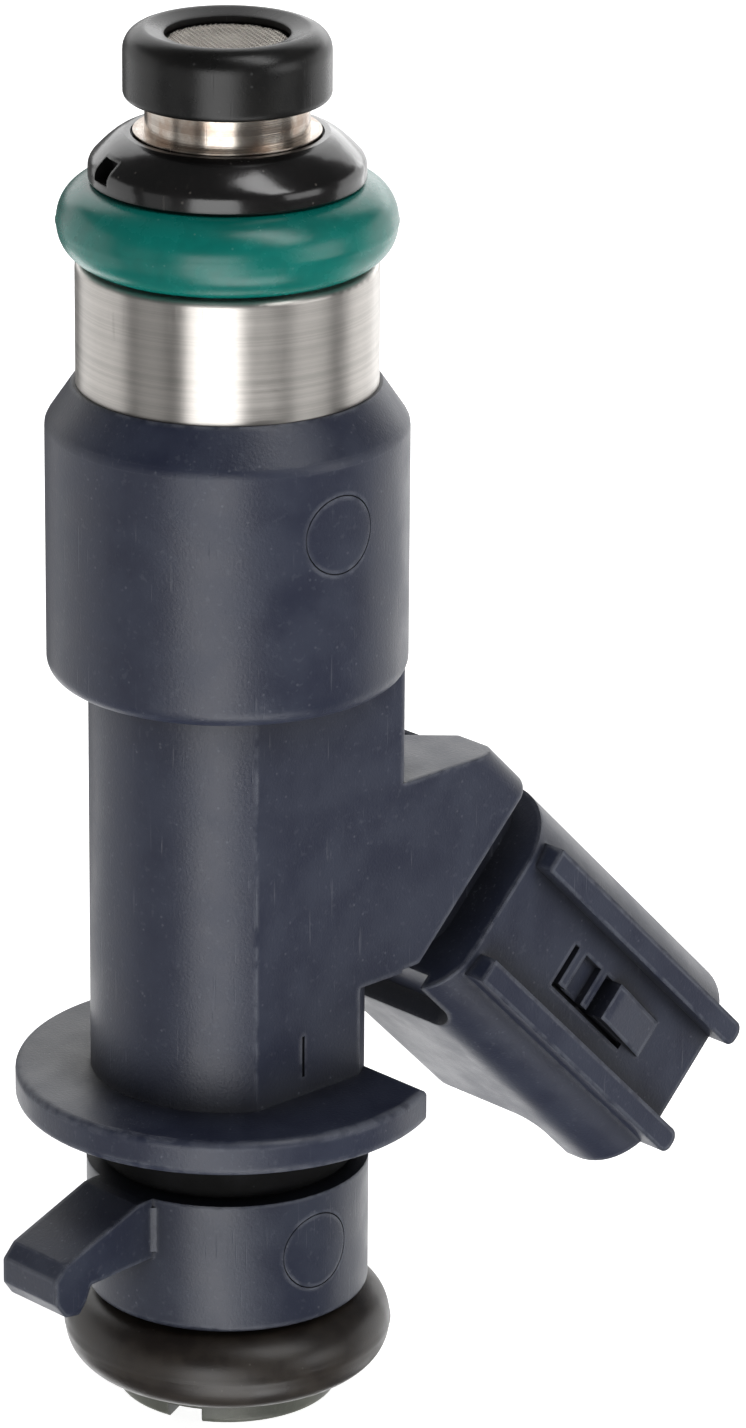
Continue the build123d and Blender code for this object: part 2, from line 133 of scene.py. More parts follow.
def between(tree, amount, low, high):
    """A number that goes from low to high as the amount goes from 0 to 1."""
    return add(tree, "MapRange", {"Value": amount, "To Min": low, "To Max": high}).outputs[0]


def dyed(tree, amount, first, second):
    """A colour between two colours."""
    mix = add(tree, "Mix", {0: amount, 6: first, 7: second}, data_type="RGBA")
    return mix.outputs[2]


def ramp(tree, amount, low, high):
    """0 below one value and 1 above another, with a smooth rise between them."""
    return add(
        tree, "MapRange", {"Value": amount, "From Min": low, "From Max": high},
        interpolation_type="SMOOTHSTEP").outputs[0]


# %% [markdown]
# ### The floor
# The injector stands on white paper. The sheet glows for the camera alone, so it looks white without lighting
# the injector from below. Gloss doesn't see it and it casts no shadow, so softboxes set lower than it still
# reach the injector and still show in its polish.

# %% Floor
def stand_floor():
    """A wide white floor, a hair below the nozzle tip."""
    half = 1.5
    gap = 0.03 * MM
    mesh = bpy.data.meshes.new("floor")
    corners = [(-half, -half), (half, -half), (half, half), (-half, half)]
    mesh.from_pydata([(x, y, cad_low.z - gap) for x, y in corners], [], [(0, 1, 2, 3)])
    floor = bpy.data.objects.new("floor", mesh)
    bpy.context.collection.objects.link(floor)
    paper = bpy.data.materials.new("white_paper")
    paper.use_nodes = True
    tree = paper.node_tree
    shader = tree.nodes["Principled BSDF"]
    shader.inputs["Base Color"].default_value = (0.8, 0.8, 0.8, 1)
    shader.inputs["Roughness"].default_value = 1
    shader.inputs["Specular IOR Level"].default_value = 0
    shader.inputs["Emission Color"].default_value = (1, 1, 1, 1)
    seen = add(tree, "LightPath").outputs["Is Camera Ray"]
    tree.links.new(between(tree, seen, 0.0, 0.9), shader.inputs["Emission Strength"])
    mesh.materials.append(paper)
    floor.visible_glossy = False
    floor.visible_shadow = False


stand_floor()


# %% [markdown]
# ### The lights
# Each light is a soft rectangle aimed at the injector's middle. Where it stands decides which part of a round
# wall shows it, and its width decides how broad that streak is.

# %% Lights
def softbox(name, azimuth, elevation, distance, width, height, power):
    """A rectangular light. Its azimuth is in degrees from the camera, to the right, and its power is in watts."""
    light = bpy.data.lights.new(name, "AREA")
    light.shape = "RECTANGLE"
    light.size = width
    light.size_y = height
    light.energy = power
    turn = math.radians(azimuth)
    rise = math.radians(elevation)
    level = to_camera * math.cos(turn) + to_right * math.sin(turn)
    middle = Vector((0, 0, (cad_low.z + cad_high.z) / 2))
    place = middle + (level * math.cos(rise) + Vector((0, 0, math.sin(rise)))) * distance
    lamp = bpy.data.objects.new(name, light)
    bpy.context.collection.objects.link(lamp)
    facing = (middle - place).to_track_quat("-Z", "Y").to_matrix().to_4x4()
    lamp.matrix_world = Matrix.Translation(place) @ facing


softbox("high_right_box", 50, 57, 0.5, 0.15, 0.40, 1.0)
softbox("front_strip", -9, -16, 0.5, 0.36, 0.50, 1.9)
softbox("right_fill", 66, 6, 0.6, 0.34, 0.30, 0.72)
softbox("left_gap", -58, -14, 0.5, 0.22, 0.50, 0.15)
softbox("left_card", -112, -8, 0.5, 0.60, 0.60, 1.0)
softbox("right_card", 128, -14, 0.5, 0.46, 0.60, 1.05)
softbox("back_card", 180, 28, 0.6, 0.90, 0.50, 2.1)
softbox("rear_right_card", 165, -6, 0.5, 0.30, 0.50, 0.55)
softbox("back_floor", -165, -40, 0.5, 0.40, 0.30, 0.65)
softbox("floor_glow", 14, -54, 0.5, 0.40, 0.22, 1.2)


# %% Surround
def pale_room(low, high):
    """A dim, nearly even world, from one strength low down to another high up, that fills the dark sides."""
    world = bpy.data.worlds.new("pale_room")
    world.use_nodes = True
    tree = world.node_tree
    rise = add(tree, "SeparateXYZ", {0: add(tree, "TexCoord").outputs["Generated"]}).outputs[2]
    strength = between(tree, ramp(tree, rise, 0.0, 0.55), low, high)
    background = tree.nodes["Background"]
    background.inputs["Color"].default_value = (1, 1, 1, 1)
    tree.links.new(strength, background.inputs["Strength"])
    bpy.context.scene.world = world


pale_room(0.13, 0.10)


# %% [markdown]
# ## Shared effects
# The same small effects come back on many finishes: the fine pebble of a spark-eroded mould, the pale line
# that handling leaves along an edge (where a finish makes it strong, partly a painted highlight), painted
# shade in inner corners, fine scratches, the rings that a lathe leaves, and dust. Each is a node group, built
# once, with its sizes as inputs in millimetres. They read Object coordinates, so they stay on the piece when it
# moves.

# %% A helper that starts a group
def effect(name, inputs, outputs):
    """An empty node group with number inputs, and outputs of the kinds given."""
    tree = bpy.data.node_groups.new(name, "ShaderNodeTree")
    for title, value in inputs.items():
        socket = tree.interface.new_socket(title, in_out="INPUT", socket_type="NodeSocketFloat")
        socket.default_value = value
    for title, kind in outputs.items():
        tree.interface.new_socket(title, in_out="OUTPUT", socket_type="NodeSocket" + kind)
    return tree, tree.nodes.new("NodeGroupInput").outputs, tree.nodes.new("NodeGroupOutput").inputs


def place_effect(tree, group, **values):
    """Puts an effect in a material. Underscores in the value names stand for spaces."""
    node = tree.nodes.new("ShaderNodeGroup")
    node.node_tree = group
    for name, value in values.items():
        node.inputs[name.replace("_", " ").capitalize()].default_value = value
    return node.outputs


def object_place(tree):
    """The place of a point on its own piece."""
    return add(tree, "TexCoord").outputs["Object"]


def scale_of(tree, size):
    """The texture scale that makes one feature of a size in millimetres."""
    return maths(tree, "DIVIDE", 1 / MM, size)


# %% [markdown]
# ### Mould grain
# A mould's spark-eroded wall prints a fine pebble on the plastic, and the filler in it gives soft clouds of
# shade and a few pale flecks. Three noises of different sizes make the three.

# %% Mould grain
grain, given, gives = effect(
    "mould_grain", {"Grain size": 0.12, "Cloud size": 3.0},
    {"Height": "Float", "Cloud": "Float", "Fleck": "Float"})
where = object_place(grain)
pebble = add(grain, "TexNoise", {
    "Vector": where, "Scale": scale_of(grain, given["Grain size"]), "Detail": 3.0, "Roughness": 0.6})
cloud = add(grain, "TexNoise", {
    "Vector": where, "Scale": scale_of(grain, given["Cloud size"]), "Detail": 5.0, "Roughness": 0.62})
fleck_size = maths(grain, "MULTIPLY", given["Grain size"], 2.2)
flecks = add(grain, "TexNoise", {"Vector": where, "Scale": scale_of(grain, fleck_size), "Detail": 2.0})
grain.links.new(pebble.outputs[0], gives["Height"])
grain.links.new(ramp(grain, cloud.outputs[0], 0.34, 0.66), gives["Cloud"])
grain.links.new(ramp(grain, flecks.outputs[0], 0.60, 0.74), gives["Fleck"])

# %% [markdown]
# ### Edge wear, painted edge highlight and painted shade
# The Bevel node gives the normal that the surface would have with its edges rounded. Where it differs from
# the true normal there is an edge, and noise breaks that line up, as handling does. Where a finish lightens
# that line strongly, it is partly a painted highlight of a rounded edge catching light. Inner corners differ
# too, so ambient occlusion tells the two apart: an open edge sees the whole sky and a nook doesn't. The same
# occlusion gives the Nook mask, which is painted shade: finishes darken their colour by it in corners,
# creases and under ledges.

# %% Edge wear and painted shade
edges, given, gives = effect(
    "edge_line_and_nook_shade", {"Edge width": 0.12, "Patch size": 0.8, "Nook depth": 3.0},
    {"Edge": "Float", "Nook": "Float", "Normal": "Vector"})
soft = add(edges, "Bevel", {"Radius": maths(edges, "MULTIPLY", given["Edge width"], MM)}, samples=4)
hard = add(edges, "NewGeometry").outputs["Normal"]
turned_by = add(edges, "VectorMath", {0: soft.outputs[0], 1: hard}, operation="DOT_PRODUCT").outputs["Value"]
on_edge = ramp(edges, maths(edges, "SUBTRACT", 1.0, turned_by), 0.002, 0.03)
patches = add(edges, "TexNoise", {
    "Vector": object_place(edges), "Scale": scale_of(edges, given["Patch size"]), "Detail": 4.0})
nook_depth = maths(edges, "MULTIPLY", given["Nook depth"], MM)
sky = add(edges, "AmbientOcclusion", {"Distance": nook_depth}, samples=6)
openness = sky.outputs["AO"]
# Edge: the pale edge line. It is rubbed wear and, where a finish gives it a strong share, also a painted
# highlight of the rounded edge.
edge_rub_and_highlight = maths(edges, "MULTIPLY", on_edge, ramp(edges, patches.outputs[0], 0.32, 0.58))
edges.links.new(maths(edges, "MULTIPLY", edge_rub_and_highlight, ramp(edges, openness, 0.70, 0.88)), gives["Edge"])
# Nook: painted shade, 1 deep in a corner and 0 in the open; finishes darken their colour by it.
edges.links.new(maths(edges, "SUBTRACT", 1.0, ramp(edges, openness, 0.35, 1.0)), gives["Nook"])
open_share = ramp(edges, openness, 0.55, 0.85)
kept_normal = add(edges, "Mix", {0: open_share, 4: hard, 5: soft.outputs[0]}, data_type="VECTOR")
edges.links.new(kept_normal.outputs[1], gives["Normal"])

# %% [markdown]
# ### Scratches
# A scratch is noise stretched about thirty times one way. Two sets, leaning different ways, cross each other.

# %% Scratches
scratches, given, gives = effect("scratches", {"Spacing": 0.25, "Rarity": 0.5}, {"Mask": "Float"})
marks = []
for lean, turn in ((0.35, 0.2), (-0.9, 1.7)):
    leaning = add(scratches, "Mapping", {
        "Vector": object_place(scratches), "Rotation": (lean, turn, 0.6), "Scale": (1.0, 1.0, 0.035)})
    streak = add(scratches, "TexNoise", {
        "Vector": leaning.outputs[0], "Scale": scale_of(scratches, given["Spacing"]), "Detail": 1.0})
    marks.append(ramp(scratches, streak.outputs[0], 0.69, 0.76))
thin_out = add(scratches, "TexNoise", {
    "Vector": object_place(scratches), "Scale": scale_of(scratches, 2.4), "Detail": 2.0})
both = maths(scratches, "MAXIMUM", marks[0], marks[1])
kept = add(scratches, "MapRange", {
    "Value": thin_out.outputs[0], "From Min": given["Rarity"],
    "From Max": maths(scratches, "ADD", given["Rarity"], 0.12)})
scratches.links.new(maths(scratches, "MULTIPLY", both, kept.outputs[0]), gives["Mask"])

# %% [markdown]
# ### Lathe rings
# A turned surface carries fine rings round its axis. On a wall they follow the height, and on a flat face the
# radius, so the noise reads the two together and never the angle.

# %% Lathe rings
rings, given, gives = effect(
    "lathe_rings", {"Pitch": 0.05, "Wander": 0.5}, {"Height": "Float", "Shade": "Float"})
apart = add(rings, "SeparateXYZ", {0: object_place(rings)})
flat_place = add(rings, "CombineXYZ", {0: apart.outputs[0], 1: apart.outputs[1]})
radius = add(rings, "VectorMath", {0: flat_place.outputs[0]}, operation="LENGTH").outputs["Value"]
line_place = maths(rings, "ADD", maths(rings, "MULTIPLY", radius, 1.7), apart.outputs[2])
fine = add(rings, "TexNoise", {
    "W": line_place, "Scale": scale_of(rings, given["Pitch"]), "Detail": 3.0, "Roughness": 0.7},
    noise_dimensions="1D")
broad = add(rings, "TexNoise", {
    "W": line_place, "Scale": scale_of(rings, maths(rings, "MULTIPLY", given["Pitch"], 9.0)), "Detail": 2.0},
    noise_dimensions="1D")
drift = add(rings, "TexNoise", {"Vector": object_place(rings), "Scale": 900.0, "Detail": 3.0})
rings.links.new(fine.outputs[0], gives["Height"])
shade = maths(
    rings, "ADD", maths(rings, "MULTIPLY", fine.outputs[0], 0.5),
    maths(rings, "MULTIPLY", broad.outputs[0], 0.5))
drift_share = maths(rings, "MULTIPLY", given["Wander"], 0.5)
wandering = add(rings, "Mix", {0: drift_share, 2: shade, 3: drift.outputs[0]})
rings.links.new(wandering.outputs[0], gives["Shade"])

# %% [markdown]
# ### Dust
# Dust is the few cells of a Voronoi pattern whose random value is highest, kept as small round dots. It lies
# on every side alike, because a handled part picks it up all round.

# %% Dust
dust, given, gives = effect("dust", {"Speck size": 0.12, "Amount": 0.1}, {"Mask": "Float"})
cells = add(dust, "TexVoronoi", {
    "Vector": object_place(dust), "Scale": scale_of(dust, maths(dust, "MULTIPLY", given["Speck size"], 3.0))})
dot = maths(dust, "SUBTRACT", 1.0, ramp(dust, cells.outputs["Distance"], 0.12, 0.3))
chance = add(dust, "SeparateColor", {0: cells.outputs["Color"]}).outputs[0]
chosen = maths(dust, "GREATER_THAN", chance, maths(dust, "SUBTRACT", 1.0, given["Amount"]))
dust.links.new(maths(dust, "MULTIPLY", dot, chosen), gives["Mask"])
print("effects:", [group.name for group in bpy.data.node_groups])


# %% [markdown]
# ## The finishes
# Each finish is one Principled shader fed by the effects above. Numbers that are the same all over, such as
# the coat of a glossy plastic, are set on the shader itself.

# %% A helper that starts a material
def new_finish(name, **fixed):
    """A material with its Principled shader, whose fixed values are set by name."""
    material = bpy.data.materials.new(name)
    material.use_nodes = True
    shader = material.node_tree.nodes["Principled BSDF"]
    for key, value in fixed.items():
        shader.inputs[key.replace("_", " ")].default_value = value
    return material, material.node_tree, shader


def colour(red, green, blue):
    """A colour at full strength, as a shader socket takes it."""
    return (red, green, blue, 1)

# %% [markdown]
# ### Moulded plastic
# The body, cap, collar and nozzle are filled nylon from a mould. A plain dark colour would look like paint, so
# the shade wanders between two near colours, the pebble breaks the gloss, and wear and specks lie on top.
# Painted shade darkens the colour in the nooks, and the strong pale edges of the body are partly a painted
# highlight of rounded edges catching light.

# %% Moulded plastic
def moulded_plastic(name, dark, pale, mark_colour, roughness, grain_size=0.12, relief=0.012, edge_width=0.16,
                    edge_rub_and_highlight_share=0.22, speck_share=0.3, scratch_share=0.18, cloud_share=0.7, fleck_share=0.10,
                    nook_share=0.95, **fixed):
    """Filled plastic from a mould.

    Two-shade clouds and a fine pebble, with pale edges (wear, partly a painted highlight), scratches, specks and
    painted shade in nooks.
    """
    material, tree, shader = new_finish(name, **fixed)
    skin = place_effect(tree, grain, grain_size=grain_size, cloud_size=2.6)
    edge_and_nook = place_effect(tree, edges, edge_width=edge_width, patch_size=0.7)
    lines = place_effect(tree, scratches, spacing=0.16, rarity=0.5)
    specks = place_effect(tree, dust, speck_size=0.09, amount=0.045)
    base = dyed(tree, maths(tree, "MULTIPLY", skin["Cloud"], cloud_share), colour(*dark), colour(*pale))
    base = dyed(tree, maths(tree, "MULTIPLY", skin["Fleck"], fleck_share), base, colour(*mark_colour))
    # Painted shade: in nooks, creases and under ledges the colour darkens towards 0.12 of the dark colour.
    shadowed = tuple(0.12 * part for part in dark)
    base = dyed(tree, maths(tree, "MULTIPLY", edge_and_nook["Nook"], nook_share), base, colour(*shadowed))
    # The pale edge line is partly wear and partly a painted highlight of the rounded edge; scratches and specks
    # are real marks.
    marked = maths(tree, "MAXIMUM", maths(tree, "MULTIPLY", edge_and_nook["Edge"], edge_rub_and_highlight_share),
                   maths(tree, "MULTIPLY", lines["Mask"], scratch_share))
    marked = maths(tree, "MAXIMUM", marked, maths(tree, "MULTIPLY", specks["Mask"], speck_share))
    tree.links.new(dyed(tree, marked, base, colour(*mark_colour)), shader.inputs["Base Color"])
    rough = between(tree, skin["Cloud"], roughness * 0.88, roughness * 1.12)
    rough = maths(tree, "ADD", rough, maths(tree, "MULTIPLY", marked, 0.12))
    rough = maths(tree, "ADD", rough, maths(tree, "MULTIPLY", edge_and_nook["Nook"], 0.15))
    tree.links.new(rough, shader.inputs["Roughness"])
    height = maths(tree, "SUBTRACT", skin["Height"], maths(tree, "MULTIPLY", lines["Mask"], 0.6))
    bump = add(tree, "Bump", {
        "Height": height, "Normal": edge_and_nook["Normal"], "Strength": 1.0, "Distance": relief * MM})
    tree.links.new(bump.outputs[0], shader.inputs["Normal"])
    return material


# The body's and sleeve's strong pale edges are partly wear and partly a painted highlight of rounded edges
# catching light.
slate = moulded_plastic(
    "slate_plastic", (0.014, 0.0175, 0.036), (0.024, 0.030, 0.053), (0.14, 0.15, 0.18), 0.39,
    grain_size=0.13, relief=0.012, edge_width=0.36, edge_rub_and_highlight_share=0.75, fleck_share=0.12)
slate_sleeve = moulded_plastic(
    "slate_sleeve_plastic", (0.014, 0.0175, 0.034), (0.025, 0.031, 0.051), (0.14, 0.15, 0.18), 0.38,
    grain_size=0.12, relief=0.010, edge_width=0.30, edge_rub_and_highlight_share=0.65, fleck_share=0.12)
black_cap = moulded_plastic(
    "satin_black_plastic", (0.004, 0.004, 0.004), (0.008, 0.0075, 0.007), (0.07, 0.07, 0.07), 0.30,
    grain_size=0.08, relief=0.006, edge_width=0.25, edge_rub_and_highlight_share=0.12, speck_share=0.35, fleck_share=0.06,
    Specular_IOR_Level=0.36)
gloss_collar = moulded_plastic(
    "gloss_black_plastic", (0.004, 0.004, 0.004), (0.008, 0.007, 0.007), (0.10, 0.09, 0.08), 0.17,
    grain_size=0.2, relief=0.004, edge_width=0.2, edge_rub_and_highlight_share=0.1, speck_share=0.5, fleck_share=0.03,
    Coat_Weight=0.3, Coat_Roughness=0.10)
nozzle_plastic = moulded_plastic(
    "grey_green_nylon", (0.100, 0.105, 0.088), (0.180, 0.185, 0.155), (0.30, 0.30, 0.26), 0.42,
    edge_width=0.15)
bobbin_plastic = moulded_plastic(
    "amber_bobbin_plastic", (0.20, 0.13, 0.06), (0.28, 0.19, 0.09), (0.5, 0.4, 0.25), 0.38)
basket_plastic = moulded_plastic(
    "natural_nylon", (0.42, 0.40, 0.34), (0.55, 0.52, 0.45), (0.7, 0.68, 0.6), 0.42,
    Subsurface_Weight=0.15, Subsurface_Scale=0.0004)

# %% [markdown]
# ### Rubber
# A seal is soft and a little oily: its colour is even, its gloss is broad and dull, and lint clings to it.
# It has no worn edges, so it needs only the grain and the dust.

# %% Rubber
def sealing_rubber(name, dark, pale, roughness, bloom, gloss=0.45):
    """Moulded rubber: an even colour with soft clouds, a fine skin, and lint that its oily surface holds."""
    material, tree, shader = new_finish(name, Specular_IOR_Level=gloss)
    skin = place_effect(tree, grain, grain_size=0.07, cloud_size=1.6)
    lint = place_effect(tree, dust, speck_size=0.07, amount=0.03)
    base = dyed(tree, skin["Cloud"], colour(*dark), colour(*pale))
    dusted = dyed(tree, maths(tree, "MULTIPLY", lint["Mask"], 0.35), base, colour(*bloom))
    tree.links.new(dusted, shader.inputs["Base Color"])
    rough = between(tree, skin["Cloud"], roughness * 0.9, roughness * 1.15)
    tree.links.new(rough, shader.inputs["Roughness"])
    bump = add(tree, "Bump", {"Height": skin["Height"], "Strength": 1.0, "Distance": 0.006 * MM})
    tree.links.new(bump.outputs[0], shader.inputs["Normal"])
    return material


teal_rubber = sealing_rubber(
    "teal_rubber", (0.000, 0.130, 0.106), (0.000, 0.160, 0.132), 0.25, (0.15, 0.35, 0.3))
brown_rubber = sealing_rubber(
    "brown_black_rubber", (0.012, 0.009, 0.0075), (0.022, 0.017, 0.013), 0.36, (0.1, 0.09, 0.08))
cushion_rubber = sealing_rubber(
    "cushion_black_rubber", (0.0015, 0.0015, 0.002), (0.003, 0.003, 0.003), 0.75, (0.03, 0.03, 0.03),
    gloss=0.12)

# %% [markdown]
# ### Turned metal
# Steel off a lathe is a mirror with fine grooves round it, which smear each highlight across them. The rings
# give the grooves, and on the wide sleeve a stretched highlight does what they are too fine to do.

# %% Turned metal
def turned_metal(name, dark, pale, roughness, pitch=0.05, relief=0.004, stretch=0.0, stain=None,
                 edge_width=0.1):
    """Metal off a lathe: rings in its height and shade, a few scratches, and bright edges."""
    material, tree, shader = new_finish(name, Metallic=1.0, Anisotropic=stretch, Anisotropic_Rotation=0.25)
    lines = place_effect(tree, rings, pitch=pitch, wander=0.35)
    edge_and_nook = place_effect(tree, edges, edge_width=edge_width, patch_size=0.5)
    marks = place_effect(tree, scratches, spacing=0.12, rarity=0.53)
    base = dyed(tree, ramp(tree, lines["Shade"], 0.36, 0.64), colour(*dark), colour(*pale))
    if stain:
        skin = place_effect(tree, grain, grain_size=0.3, cloud_size=1.1)
        base = dyed(tree, maths(tree, "MULTIPLY", skin["Cloud"], 0.55), base, colour(*stain))
    bright = tuple(min(1.0, 1.25 * part) for part in pale)
    mark_colour = dyed(tree, maths(tree, "MULTIPLY", edge_and_nook["Edge"], 0.5), base, colour(*bright))
    tree.links.new(mark_colour, shader.inputs["Base Color"])
    rough = between(tree, lines["Shade"], roughness * 0.75, roughness * 1.3)
    rough = maths(tree, "ADD", rough, maths(tree, "MULTIPLY", marks["Mask"], 0.1))
    tree.links.new(rough, shader.inputs["Roughness"])
    height = maths(tree, "SUBTRACT", lines["Height"], maths(tree, "MULTIPLY", marks["Mask"], 0.5))
    bump = add(tree, "Bump", {
        "Height": height, "Normal": edge_and_nook["Normal"], "Strength": 1.0, "Distance": relief * MM})
    tree.links.new(bump.outputs[0], shader.inputs["Normal"])
    if stretch:
        tangent = add(tree, "Tangent", direction_type="RADIAL", axis="Z")
        tree.links.new(tangent.outputs[0], shader.inputs["Tangent"])
    return material


sleeve_steel = turned_metal(
    "turned_sleeve_steel", (0.45, 0.43, 0.405), (0.58, 0.55, 0.52), 0.36,
    pitch=0.035, relief=0.002, stretch=0.85)
tube_steel = turned_metal(
    "inlet_tube_steel", (0.38, 0.34, 0.30), (0.60, 0.55, 0.49), 0.20, pitch=0.09, relief=0.004,
    stain=(0.26, 0.15, 0.09))
mesh_steel = turned_metal("strainer_steel", (0.50, 0.46, 0.42), (0.66, 0.62, 0.57), 0.34, pitch=0.2)
magnet_steel = turned_metal("magnet_steel", (0.34, 0.33, 0.32), (0.50, 0.49, 0.47), 0.30, pitch=0.06)
gap_steel = turned_metal("gap_ring_steel", (0.52, 0.50, 0.46), (0.68, 0.66, 0.62), 0.24, pitch=0.05)
spring_steel = turned_metal("spring_steel", (0.36, 0.36, 0.37), (0.52, 0.52, 0.53), 0.26, pitch=0.12)
needle_steel = turned_metal("ground_needle_steel", (0.58, 0.58, 0.58), (0.72, 0.72, 0.72), 0.16, pitch=0.03)
ball_steel = turned_metal(
    "lapped_ball_steel", (0.68, 0.68, 0.69), (0.76, 0.76, 0.77), 0.06, pitch=0.02, relief=0.001)
valve_steel = turned_metal("valve_body_steel", (0.44, 0.43, 0.42), (0.62, 0.61, 0.59), 0.26, pitch=0.06)
seat_steel = turned_metal("hard_seat_steel", (0.50, 0.50, 0.51), (0.64, 0.64, 0.65), 0.18, pitch=0.04)
plate_steel = turned_metal("spray_plate_steel", (0.56, 0.55, 0.53), (0.70, 0.69, 0.67), 0.22, pitch=0.08)
terminal_brass = turned_metal("tinned_brass", (0.50, 0.42, 0.26), (0.66, 0.58, 0.40), 0.28, pitch=0.15)
winding_copper = turned_metal("enamelled_copper", (0.40, 0.15, 0.06), (0.56, 0.24, 0.10), 0.24, pitch=0.09)


# %% [markdown]
# ## Pieces worked out as surfaces
# Five pieces are worth their own meshes. A ring in CAD is cut into flat strips, while here it is a smooth grid
# with the fine flash line that its mould leaves. The strainer is real wires that pass over and under each
# other, the coil shows the turns of its wire, and the spring is one wound wire.

# %% Helpers for grids
def grid_faces(rows, columns, loop_rows=False):
    """The quads of a grid, as one array. The last column joins the first, and so may the last row."""
    row = np.arange(rows if loop_rows else rows - 1)[:, None]
    column = np.arange(columns)[None, :]
    next_row = (row + 1) % rows
    next_column = (column + 1) % columns
    corners = (row * columns + column, row * columns + next_column,
               next_row * columns + next_column, next_row * columns + column)
    return np.stack(np.broadcast_arrays(*corners), axis=-1).reshape(-1, 4)


def wire_faces(rows, columns, start=0):
    """The faces of one wire: quads along it and a flat cap over each end.

    They point outwards where the wire's direction is (section's zero) cross (section's quarter turn).
    """
    first = np.arange(columns) + start
    last = first + (rows - 1) * columns
    return [*(grid_faces(rows, columns) + start).tolist(), first[::-1].tolist(), last.tolist()]


def surface(name, points, faces, material, slot, *replaced):
    """A smooth mesh piece from points and faces. It stands for CAD nodes and rides on the housing."""
    mesh = bpy.data.meshes.new(name)
    mesh.from_pydata(points.reshape(-1, 3), [], faces)
    mesh.polygons.foreach_set("use_smooth", np.ones(len(mesh.polygons), dtype=bool))
    mesh.materials.append(material)
    mesh.update()
    piece = bpy.data.objects.new(name, mesh)
    bpy.context.collection.objects.link(piece)
    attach(piece, "housing")
    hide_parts(*replaced)
    print(name, len(faces), "faces")
    return piece


# %% [markdown]
# ### Sealing rings
# An O-ring is a round section carried round the axis. Its mould closes along the middle of the outside and
# of the inside, and leaves a thin raised line there. So the section is a circle, drawn in a little where the line
# is, plus a narrow ridge at those two angles, and its crest reaches just as far as the CAD ring does.

# %% O-rings
def sealing_ring(name, node, material, slot, flash=0.035):
    """A ring: one angle goes round the section, and the other round the axis.

    Across the ring, section radius = plain radius - flash height times (cosine to the eighth power)
    + flash height times exp(-(distance from the parting plane / ridge width) squared). Its height keeps the
    plain radius.
    """
    low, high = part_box(node)
    section = (high.z - low.z) / 2
    outer = (high.x - low.x) / 2
    around, turns = 72, 256
    ridge_width = 0.07 * MM
    angle = np.linspace(0, 2 * math.pi, around, endpoint=False)
    ridge = flash * MM * np.exp(-((section * np.sin(angle) / ridge_width) ** 2))
    size = section - flash * MM * (np.abs(np.cos(angle)) ** 8) + ridge
    reach = outer - section + size * np.cos(angle)
    rise = (low.z + high.z) / 2 + section * np.sin(angle)
    turn = np.linspace(0, 2 * math.pi, turns, endpoint=False)[:, None]
    heights = np.broadcast_to(rise, (turns, around))
    points = np.stack([reach[None, :] * np.cos(turn), reach[None, :] * np.sin(turn), heights], axis=-1)
    faces = grid_faces(turns, around, loop_rows=True)[:, ::-1].tolist()
    return surface(name, points, faces, material, slot, node)


sealing_ring("rail_seal", "rail_o_ring", teal_rubber, "rail_rubber")
sealing_ring("manifold_seal", "manifold_o_ring", brown_rubber, "manifold_rubber")

# %% [markdown]
# ### Woven strainer
# The strainer is plain weave: each wire goes over one crossing wire and under the next. Along a wire the height
# is a cosine of the distance, and the next wire has the opposite sign. The wires end on a circle a little
# smaller than the cap's hole, so a thin dark gap shows round them.

# %% Strainer wires
def strainer():
    """Two crossing sets of wires, turned together about the axis.

    Each wire is a circle carried along a cosine, as long as the chord at its place. Its crown stands two wire
    radii above the middle, which is why the middle lies a little more than that below the top of the box.
    """
    low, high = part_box("inlet_screen")
    wire_radius = 0.042 * MM
    pitch = 0.165 * MM
    turned_by = math.radians(22)
    reach = 2.5 * MM
    middle = high.z - 2.1 * wire_radius
    count = int(reach / pitch)
    along = np.linspace(-1, 1, 141)
    angle = np.linspace(0, 2 * math.pi, 8, endpoint=False)
    wires, faces = [], []
    for step in range(-count, count + 1):
        offset = step * pitch
        run = along * math.sqrt(reach ** 2 - offset ** 2)
        wave = np.cos(math.pi * run / pitch) * wire_radius * (1 if step % 2 else -1)
        for across in (False, True):
            sideways, upright = (np.sin(angle), np.cos(angle)) if across else (np.cos(angle), np.sin(angle))
            points = np.empty((len(run), len(angle), 3))
            points[..., int(across)] = run[:, None]
            points[..., int(not across)] = offset + wire_radius * sideways
            points[..., 2] = middle + (-wave if across else wave)[:, None] + wire_radius * upright
            faces += wire_faces(len(run), len(angle), start=len(wires) * len(run) * len(angle))
            wires.append(points)
    x, y, z = np.moveaxis(np.array(wires), -1, 0)
    turned_x = x * math.cos(turned_by) - y * math.sin(turned_by)
    turned_y = x * math.sin(turned_by) + y * math.cos(turned_by)
    turned = np.stack([turned_x, turned_y, z], axis=-1)
    return surface("woven_strainer", turned, faces, mesh_steel, "screen_mesh", "inlet_screen")


strainer()


# %% [markdown]
# ### Copper winding
# The coil is one enamelled wire wound in close turns, shut inside its can. Only the outer layer would show with
# the can off, so it is a tube whose
# radius rises and falls along the axis, with the wave shifted by one turn of the wire for each turn round.

# %% Coil
def winding():
    """A closed tube: outer radius = plain radius + wave height times cos(2 pi height / pitch - angle)."""
    low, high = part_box("coil_winding")
    outer = (high.x - low.x) / 2
    drum_radius = 4.77 * MM
    pitch = 0.30 * MM
    wave = 0.07 * MM
    turns = 96
    levels = np.linspace(low.z, high.z, 420)
    turn = np.linspace(0, 2 * math.pi, turns, endpoint=False)
    outside = outer - wave + wave * np.cos(2 * math.pi * levels[:, None] / pitch - turn[None, :])
    radius = np.concatenate([outside, np.full((2, turns), drum_radius)])
    height = np.concatenate([levels, [levels[-1], levels[0]]])
    heights = np.broadcast_to(height[:, None], radius.shape)
    points = np.stack([radius * np.cos(turn), radius * np.sin(turn), heights], axis=-1)
    faces = grid_faces(len(height), turns, loop_rows=True).tolist()
    return surface("copper_winding", points, faces, winding_copper, "winding_copper", "coil_winding")


winding()
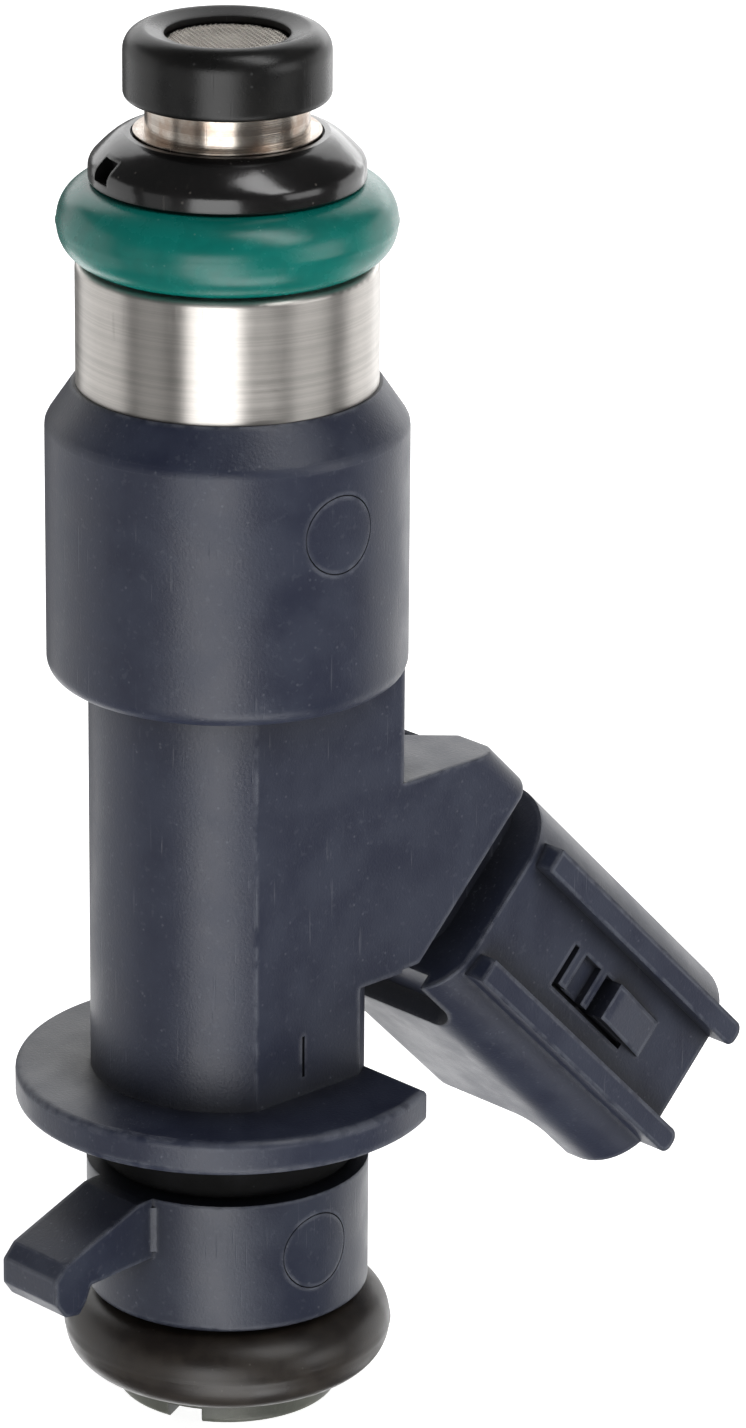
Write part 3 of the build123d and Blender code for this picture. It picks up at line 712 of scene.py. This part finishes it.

# %% [markdown]
# ### Return spring
# The spring is one wire wound on a helix, with closer turns at its ends so that it stands square. When the
# needle lifts, the spring's foot rides up with it while its head stays on the adjuster. So the piece belongs
# to the housing, and it gets a mesh of its own.

# %% Spring
def wound_spring():
    """A helix: the pitch is small over the end turns and wide between them, and height is its running sum."""
    low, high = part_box("return_spring")
    wire_radius = 0.19 * MM
    coil = (high.x - low.x) / 2 - wire_radius
    turns = 7.5
    end_pitch, pitch_gain = 0.42, 0.58
    end_turns, easing_turns = 0.75, 0.5
    share = np.linspace(0, 1, 361)
    inwards = np.minimum(share, 1 - share) * turns
    pitch = end_pitch + pitch_gain * np.clip((inwards - end_turns) / easing_turns, 0, 1)
    climbed = np.concatenate([[0], np.cumsum((pitch[1:] + pitch[:-1]) / 2)])
    middle = low.z + wire_radius + (high.z - low.z - 2 * wire_radius) * climbed / climbed[-1]
    turn = 2 * math.pi * turns * share[:, None]
    angle = np.linspace(0, 2 * math.pi, 14, endpoint=False)
    radius = coil + wire_radius * np.sin(angle)
    height = middle[:, None] + wire_radius * np.cos(angle)
    points = np.stack([radius * np.cos(turn), radius * np.sin(turn), height], axis=-1)
    faces = wire_faces(len(share), len(angle))
    spring = surface("wound_spring", points, faces, spring_steel, "spring_steel", "return_spring")
    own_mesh(spring)
    return spring


wound_spring()

# %% [markdown]
# ## Dress the CAD pieces
# Every piece that came from CAD keeps its shape, and gets its finish in its own material slots.

# %% Finishes by piece
finishes = {
    "filter_cap": black_cap,
    "inlet_screen": mesh_steel,
    "filter_basket": basket_plastic,
    "inlet_tube": tube_steel,
    "seal_collar": gloss_collar,
    "rail_o_ring": teal_rubber,
    "rail_sleeve": sleeve_steel,
    "body_moulding": slate,
    "terminal_1": terminal_brass,
    "terminal_2": terminal_brass,
    "coil_bobbin": bobbin_plastic,
    "coil_winding": winding_copper,
    "coil_can": magnet_steel,
    "flux_washer": magnet_steel,
    "fixed_core": magnet_steel,
    "gap_ring": gap_steel,
    "adjuster_tube": gap_steel,
    "return_spring": spring_steel,
    "armature": magnet_steel,
    "valve_needle": needle_steel,
    "valve_ball": ball_steel,
    "needle_guide": gap_steel,
    "valve_body": valve_steel,
    "valve_seat": seat_steel,
    "spray_plate": plate_steel,
    "locating_sleeve": slate_sleeve,
    "cushion_ring": cushion_rubber,
    "manifold_o_ring": brown_rubber,
    "nozzle_cap": nozzle_plastic,
}
for node_name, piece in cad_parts.items():
    for place in piece.material_slots:
        place.material = finishes[node_name]
print("dressed", len(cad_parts), "pieces in", len(set(finishes.values())), "finishes")
